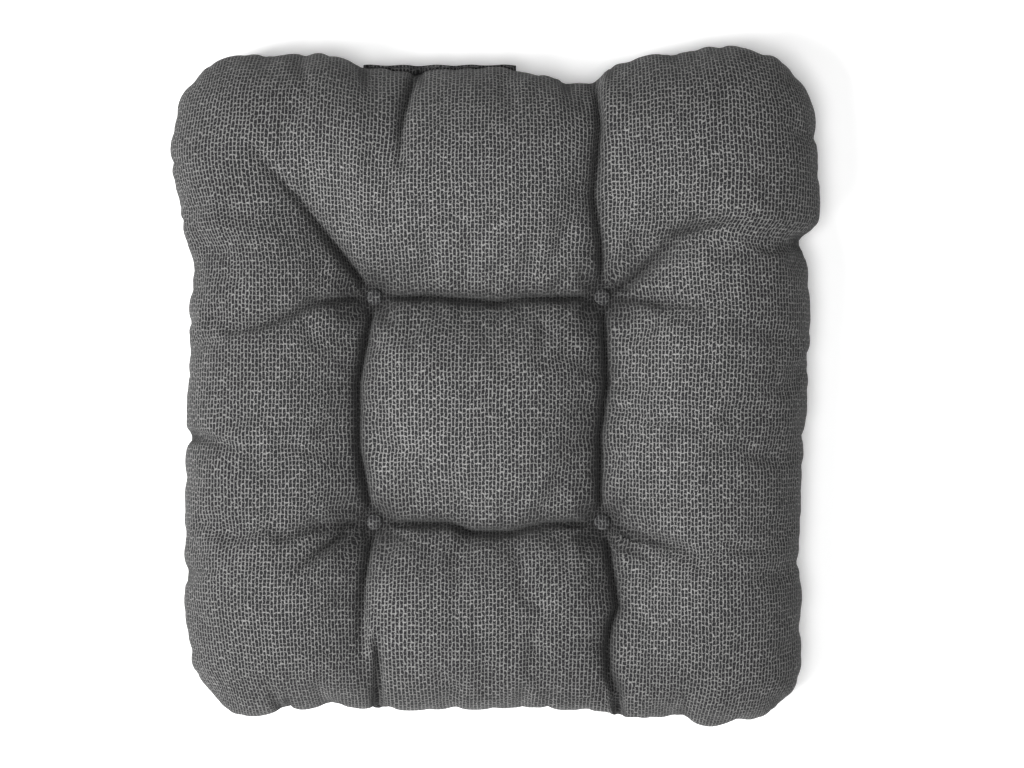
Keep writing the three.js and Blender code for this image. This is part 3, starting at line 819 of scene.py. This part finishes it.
def cut_cover(name, which, level, node):
    """One cover out of the filled skin: the faces of one side, with its twine holes."""
    work = bmesh.new()
    work.from_mesh(fine_mesh)
    which_side = work.verts.layers.float["side"]
    other = [f for f in work.faces if sum(v[which_side] for v in f.verts) * which < 0]
    bmesh.ops.delete(work, geom=other, context="FACES")
    rim_verts = [v for v in work.verts if v.is_boundary]
    for v in rim_verts:
        v.co = seam_place(v.co)
        v.co.z += which * SEAM_GAP
    lip = [e for e in work.edges if e.is_boundary and all(in_closing(v.co) for v in e.verts)]
    lip_level = sum(v.co.y for e in lip for v in e.verts) / (2 * len(lip)) + LIP_DEPTH
    flat_cloth = work.loops.layers.uv["flat_pattern"]
    for v in bmesh.ops.extrude_edge_only(work, edges=lip)["geom"]:
        if isinstance(v, bmesh.types.BMVert):
            grown = lip_level + LIP_WAVE * math.sin(v.co.x * LIP_WAVES) - v.co.y
            v.co.y += grown
            v.co.z += which * LIP_PART
            for loop in v.link_loops:
                loop[flat_cloth].uv.y += grown
    for tuft_name in TUFTS:
        open_hole(work, tuft[tuft_name], level, HOLE)
    mesh = bpy.data.meshes.new(name)
    work.to_mesh(mesh)
    work.free()
    piece = bpy.data.objects.new(name, mesh)
    scene.collection.objects.link(piece)
    thick = piece.modifiers.new("cloth_thickness", "SOLIDIFY")
    thick.thickness = CLOTH_THICK
    thick.offset = -1.0
    mesh.materials.append(cover_cloth)
    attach(piece, "root")
    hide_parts(node)


cut_cover("top_cover", 1, TUFT_TOP, "top_panel")
cut_cover("underside_cover", -1, TUFT_UNDER, "bottom_panel")

# The filling is loose polyester fibre, blown in until the covers are tight. It lies just inside the
# cloth all over, and the twines draw it in to a thin neck at each tuft and pass through it.
FIBRE_GAP = 0.0026
SEAM_CLEAR = 0.005
loft = bmesh.new()
loft.from_mesh(fine_mesh)
loft.normal_update()
on_side = loft.verts.layers.float["side"]
stuffing = [v.co - v.normal * FIBRE_GAP for v in loft.verts]
for v, place in zip(loft.verts, stuffing):
    v.co = place
    near_seam = max(0.0, 1 - abs(v[on_side]))
    v.co -= Vector((v.co.x, v.co.y, 0.0)).normalized() * SEAM_CLEAR * near_seam
for name in TUFTS:
    loops = open_hole(loft, tuft[name], TUFT_TOP - FIBRE_GAP, HOLE)
    loops += open_hole(loft, tuft[name], TUFT_UNDER + FIBRE_GAP, HOLE)
    bmesh.ops.bridge_loops(loft, edges=list(dict.fromkeys(loops)))
bmesh.ops.recalc_face_normals(loft, faces=loft.faces)
fibre_mesh = bpy.data.meshes.new("fibre_filling")
loft.to_mesh(fibre_mesh)
loft.free()
fibre_filling = bpy.data.objects.new("fibre_filling", fibre_mesh)
scene.collection.objects.link(fibre_filling)

wadding = bpy.data.materials.new("wadding")
wadding.use_nodes = True
tree = wadding.node_tree
shader = tree.nodes["Principled BSDF"]
here = tree.nodes.new("ShaderNodeTexCoord").outputs["Object"]
clump = noise(tree, here, 140.0, 4.0, 0.65)
strand = noise(tree, here, 1800.0, 3.0, 0.7)
fluff = maths(tree, "ADD", maths(tree, "MULTIPLY", clump, 0.6), maths(tree, "MULTIPLY", strand, 0.4))
feed(tree, shader.inputs["Base Color"],
     blend(tree, ramp(tree, fluff, 0.3, 0.7), (0.62, 0.61, 0.58, 1.0), (0.86, 0.855, 0.83, 1.0)))
feed(tree, shader.inputs["Roughness"], ramp(tree, strand, 0.2, 0.8, 0.88, 1.0))
feed(tree, shader.inputs["Normal"], bump(tree, fluff, 0.002))
shader.inputs["Sheen Weight"].default_value = 0.3
fibre_mesh.materials.append(wadding)
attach(fibre_filling, "root")
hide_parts("fibre_fill")

# The buttons are pressed shells with a disc of the same cloth drawn over them and gathered in under
# the rim, where it is crimped by the back plate. Each lies in its tuft, drawn down by its twine.
BUTTON_GATHERS = 14
STEPS_A_GATHER = 4
GATHER_DEPTH = 0.024
GATHERED_BELOW = 0.45
CLOTH_SPREAD = 1.15


def cover_button(name):
    """The gathered cloth over one button, turned about the button's middle from its section."""
    low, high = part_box(name)
    middle = Vector(((low.x + high.x) / 2, (low.y + high.y) / 2, (low.z + high.z) / 2))
    radius, tall = (high.x - low.x) / 2, high.z - low.z
    up = 1 if name.startswith("top") else -1
    seat = low.z if up > 0 else high.z
    # The section, from the crown down the dome, round the rim and back under to the crimp.
    section = [(0.0, 1.0), (0.30, 0.975), (0.56, 0.90), (0.78, 0.76), (0.92, 0.57), (0.99, 0.37),
               (1.0, 0.22), (0.965, 0.08), (0.88, 0.0), (0.74, 0.0), (0.72, 0.09), (0.86, 0.11),
               (0.91, 0.24), (0.90, 0.37), (0.83, 0.53), (0.70, 0.68), (0.50, 0.81), (0.26, 0.885),
               (0.0, 0.905)]
    work = bmesh.new()
    ring = [work.verts.new((middle.x + r * radius, middle.y, seat + up * h * tall)) for r, h in section]
    edges = [work.edges.new(pair) for pair in zip(ring, ring[1:])]
    bmesh.ops.spin(work, geom=ring + edges, cent=middle, axis=(0, 0, 1), angle=math.tau,
                   steps=BUTTON_GATHERS * STEPS_A_GATHER, use_merge=True)
    bmesh.ops.remove_doubles(work, verts=work.verts, dist=1e-6)
    for v in work.verts:
        ax, ay = v.co.x - middle.x, v.co.y - middle.y
        r = math.hypot(ax, ay)
        share = abs(v.co.z - seat) / tall
        low_down = max(0.0, 1 - share / GATHERED_BELOW) * min(1.0, r / radius / 0.7)
        turn = math.atan2(ay, ax)
        pleat = math.cos(BUTTON_GATHERS * turn + 0.6 * math.sin(3 * turn))
        squeeze = 1 - GATHER_DEPTH * low_down * (1 + pleat) / 2
        v.co.x, v.co.y = middle.x + ax * squeeze, middle.y + ay * squeeze
    bmesh.ops.recalc_face_normals(work, faces=work.faces)
    flat = work.loops.layers.uv.new("flat_pattern")
    for face in work.faces:
        face.smooth = True
        for loop in face.loops:
            loop[flat].uv = (loop.vert.co.x * CLOTH_SPREAD, loop.vert.co.y * CLOTH_SPREAD)
    mesh = bpy.data.meshes.new(name + "_gathered")
    work.to_mesh(mesh)
    work.free()
    piece = bpy.data.objects.new(name + "_gathered", mesh)
    scene.collection.objects.link(piece)
    mesh.materials.append(button_cloth)
    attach(piece, "root")
    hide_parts(name)


# Painted shade: the buttons' cloth is the cover's weave with its yarns set darker, as the shade of the
# dimples the buttons lie in. It gets none of the painted shade from the folds.
SHADED_BUTTON_LIGHT = (0.105, 0.105, 0.104, 1.0)
SHADED_BUTTON_DARK = (0.010, 0.010, 0.011, 1.0)
button_cloth = cloth_finish("button_cloth", SHADED_BUTTON_LIGHT, SHADED_BUTTON_DARK, 0.0004, 1.0)
for tuft_name in TUFTS:
    cover_button("top_button_cloth_" + tuft_name)
    cover_button("bottom_button_cloth_" + tuft_name)

# The shells are pressed from thin aluminium, satin and lightly scuffed, and lie inside the cloth.
pressed = bpy.data.materials.new("pressed_aluminium")
pressed.use_nodes = True
tree = pressed.node_tree
shader = tree.nodes["Principled BSDF"]
here = tree.nodes.new("ShaderNodeTexCoord").outputs["Object"]
scuff = noise(tree, here, 900.0, 4.0, 0.6)
feed(tree, shader.inputs["Base Color"],
     blend(tree, scuff, (0.60, 0.61, 0.62, 1.0), (0.78, 0.79, 0.80, 1.0)))
feed(tree, shader.inputs["Roughness"], ramp(tree, scuff, 0.2, 0.8, 0.28, 0.5))
feed(tree, shader.inputs["Normal"], bump(tree, noise(tree, here, 4000.0, 2.0), 0.00002))
shader.inputs["Metallic"].default_value = 1.0

# The back plates are moulded nylon with a fine grain. Each closes a shell and carries its shank.
moulded = bpy.data.materials.new("moulded_nylon")
moulded.use_nodes = True
tree = moulded.node_tree
shader = tree.nodes["Principled BSDF"]
here = tree.nodes.new("ShaderNodeTexCoord").outputs["Object"]
grain = noise(tree, here, 5200.0, 3.0, 0.6)
feed(tree, shader.inputs["Base Color"],
     blend(tree, grain, (0.022, 0.022, 0.024, 1.0), (0.040, 0.040, 0.042, 1.0)))
feed(tree, shader.inputs["Roughness"], ramp(tree, grain, 0.2, 0.8, 0.42, 0.62))
feed(tree, shader.inputs["Normal"], bump(tree, grain, 0.00004))

# The four twines are waxed cord, and the sewing thread is spun polyester. One group draws the twist
# of both: strands that lie aslant, with loose fibres on them.
twisted = bpy.data.node_groups.new("twisted_yarn", "ShaderNodeTree")
for label, kind in (("Place", "NodeSocketVector"), ("Strands", "NodeSocketFloat"),
                    ("Dark", "NodeSocketColor"), ("Light", "NodeSocketColor"),
                    ("Gloss", "NodeSocketFloat")):
    twisted.interface.new_socket(name=label, in_out="INPUT", socket_type=kind)
for label, kind in (("Color", "NodeSocketColor"), ("Roughness", "NodeSocketFloat"),
                    ("Height", "NodeSocketFloat")):
    twisted.interface.new_socket(name=label, in_out="OUTPUT", socket_type=kind)
yarn_in = twisted.nodes.new("NodeGroupInput")
yarn_out = twisted.nodes.new("NodeGroupOutput")
strands = twisted.nodes.new("ShaderNodeTexWave")
strands.wave_type = "BANDS"
strands.bands_direction = "DIAGONAL"
strands.inputs["Distortion"].default_value = 1.5
strands.inputs["Detail"].default_value = 2.0
feed(twisted, strands.inputs["Scale"], yarn_in.outputs["Strands"])
feed(twisted, strands.inputs["Vector"], yarn_in.outputs["Place"])
fuzz = noise(twisted, yarn_in.outputs["Place"], 6000.0, 3.0, 0.7)
strand = strands.outputs["Fac"]
twist_tone = blend(twisted, strand, yarn_in.outputs["Dark"], yarn_in.outputs["Light"])
feed(twisted, yarn_out.inputs["Color"], twist_tone)
gloss = yarn_in.outputs["Gloss"]
rougher = maths(twisted, "ADD", gloss, 0.2)
feed(twisted, yarn_out.inputs["Roughness"], ramp(twisted, fuzz, 0.2, 0.8, gloss, rougher))
loose_fibres = maths(twisted, "MULTIPLY", fuzz, 0.4)
feed(twisted, yarn_out.inputs["Height"], maths(twisted, "ADD", strand, loose_fibres))


def spun_yarn(name, dark, light, grains, gloss):
    """A material for one kind of twisted yarn."""
    material = bpy.data.materials.new(name)
    material.use_nodes = True
    tree = material.node_tree
    shader = tree.nodes["Principled BSDF"]
    yarn = tree.nodes.new("ShaderNodeGroup")
    yarn.node_tree = twisted
    feed(tree, yarn.inputs["Place"], tree.nodes.new("ShaderNodeTexCoord").outputs["Object"])
    for label, value in (("Strands", grains), ("Dark", dark), ("Light", light), ("Gloss", gloss)):
        yarn.inputs[label].default_value = value
    feed(tree, shader.inputs["Base Color"], yarn.outputs["Color"])
    feed(tree, shader.inputs["Roughness"], yarn.outputs["Roughness"])
    feed(tree, shader.inputs["Normal"], bump(tree, yarn.outputs["Height"], 0.00012))
    return material


sewing_thread = spun_yarn("sewing_thread", (0.018, 0.018, 0.019, 1.0),
                          (0.050, 0.050, 0.052, 1.0), 900.0, 0.6)
waxed_twine = spun_yarn("waxed_twine", (0.030, 0.030, 0.033, 1.0),
                        (0.085, 0.085, 0.090, 1.0), 600.0, 0.38)

# The shells, backs and twines keep the shapes they were designed with, and get their materials here.
for node_name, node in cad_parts.items():
    finish = None
    if "_shell_" in node_name:
        finish = pressed
    elif "_back_" in node_name:
        finish = moulded
    elif node_name.startswith("twine_"):
        finish = waxed_twine
    elif node_name in ("seam_thread", "closing_thread"):
        finish = sewing_thread
    if finish:
        node.data.materials.clear()
        node.data.materials.append(finish)

# The seam is sewn round with dark polyester thread, one stitch every 3 mm, deep between the covers.
# The stuffing gap at the rear is shut by topstitches, a row on each side of its flat lip.
STITCH = 0.0030
THREAD = 0.00030
TOPSTITCH_THREAD = 0.00036
TOPSTITCH_IN = 0.0016
STITCH_SHARE = 0.47

seam = bmesh.new()
seam.from_mesh(fine_mesh)
on_side = seam.verts.layers.float["side"]
rim_edges = [e for e in seam.edges if all(abs(v[on_side]) < 1e-4 for v in e.verts)]
at = rim_edges[0].verts[0]
walked = [at]
left_over = set(rim_edges)
while left_over:
    edge = next((e for e in at.link_edges if e in left_over), None)
    if edge is None:
        break
    left_over.remove(edge)
    at = edge.other_vert(at)
    walked.append(at)
seam_line = [seam_place(v.co) for v in walked]
seam.free()


def every(line, pitch):
    """Pairs of points, a stitch's two ends, at an even pitch along a line."""
    run = [0.0]
    for a, b in zip(line, line[1:]):
        run.append(run[-1] + (b - a).length)
    marks = np.arange(0.0, run[-1], pitch)
    spots = np.stack([np.interp(marks, run, [p[i] for p in line]) for i in range(3)], 1)
    return [(Vector(a), Vector(b)) for a, b in zip(spots, spots[1:])]


def sew(name, stitches, thread, node):
    """A row of stitches, each a small rounded strand that is fattest at its middle."""
    work = bmesh.new()
    for a, b in stitches:
        way = (b - a).normalized()
        turn = way.to_track_quat("Z", "X").to_matrix().to_4x4()
        turn.translation = (a + b) / 2
        size = (thread, thread, (b - a).length * STITCH_SHARE)
        strand = bmesh.ops.create_uvsphere(work, u_segments=6, v_segments=5, radius=1.0)["verts"]
        bmesh.ops.scale(work, vec=size, verts=strand)
        bmesh.ops.transform(work, matrix=turn, verts=strand)
    for face in work.faces:
        face.smooth = True
    mesh = bpy.data.meshes.new(name)
    work.to_mesh(mesh)
    work.free()
    piece = bpy.data.objects.new(name, mesh)
    scene.collection.objects.link(piece)
    mesh.materials.append(sewing_thread)
    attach(piece, "root")
    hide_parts(node)


sew("seam_stitches", every(seam_line, STITCH), THREAD, "seam_thread")
lip_line = sorted((p for p in seam_line if in_closing(p)), key=lambda p: p.x)
lip_edge = sum(p.y for p in lip_line) / len(lip_line) + LIP_DEPTH
topstitches = []
for way in (1, -1):
    lift = way * (SEAM_GAP + CLOTH_THICK + 0.0001)
    row = [Vector((p.x, lip_edge - TOPSTITCH_IN, p.z + lift)) for p in lip_line]
    topstitches += every(row, STITCH)
sew("closing_topstitches", topstitches, TOPSTITCH_THREAD, "closing_thread")
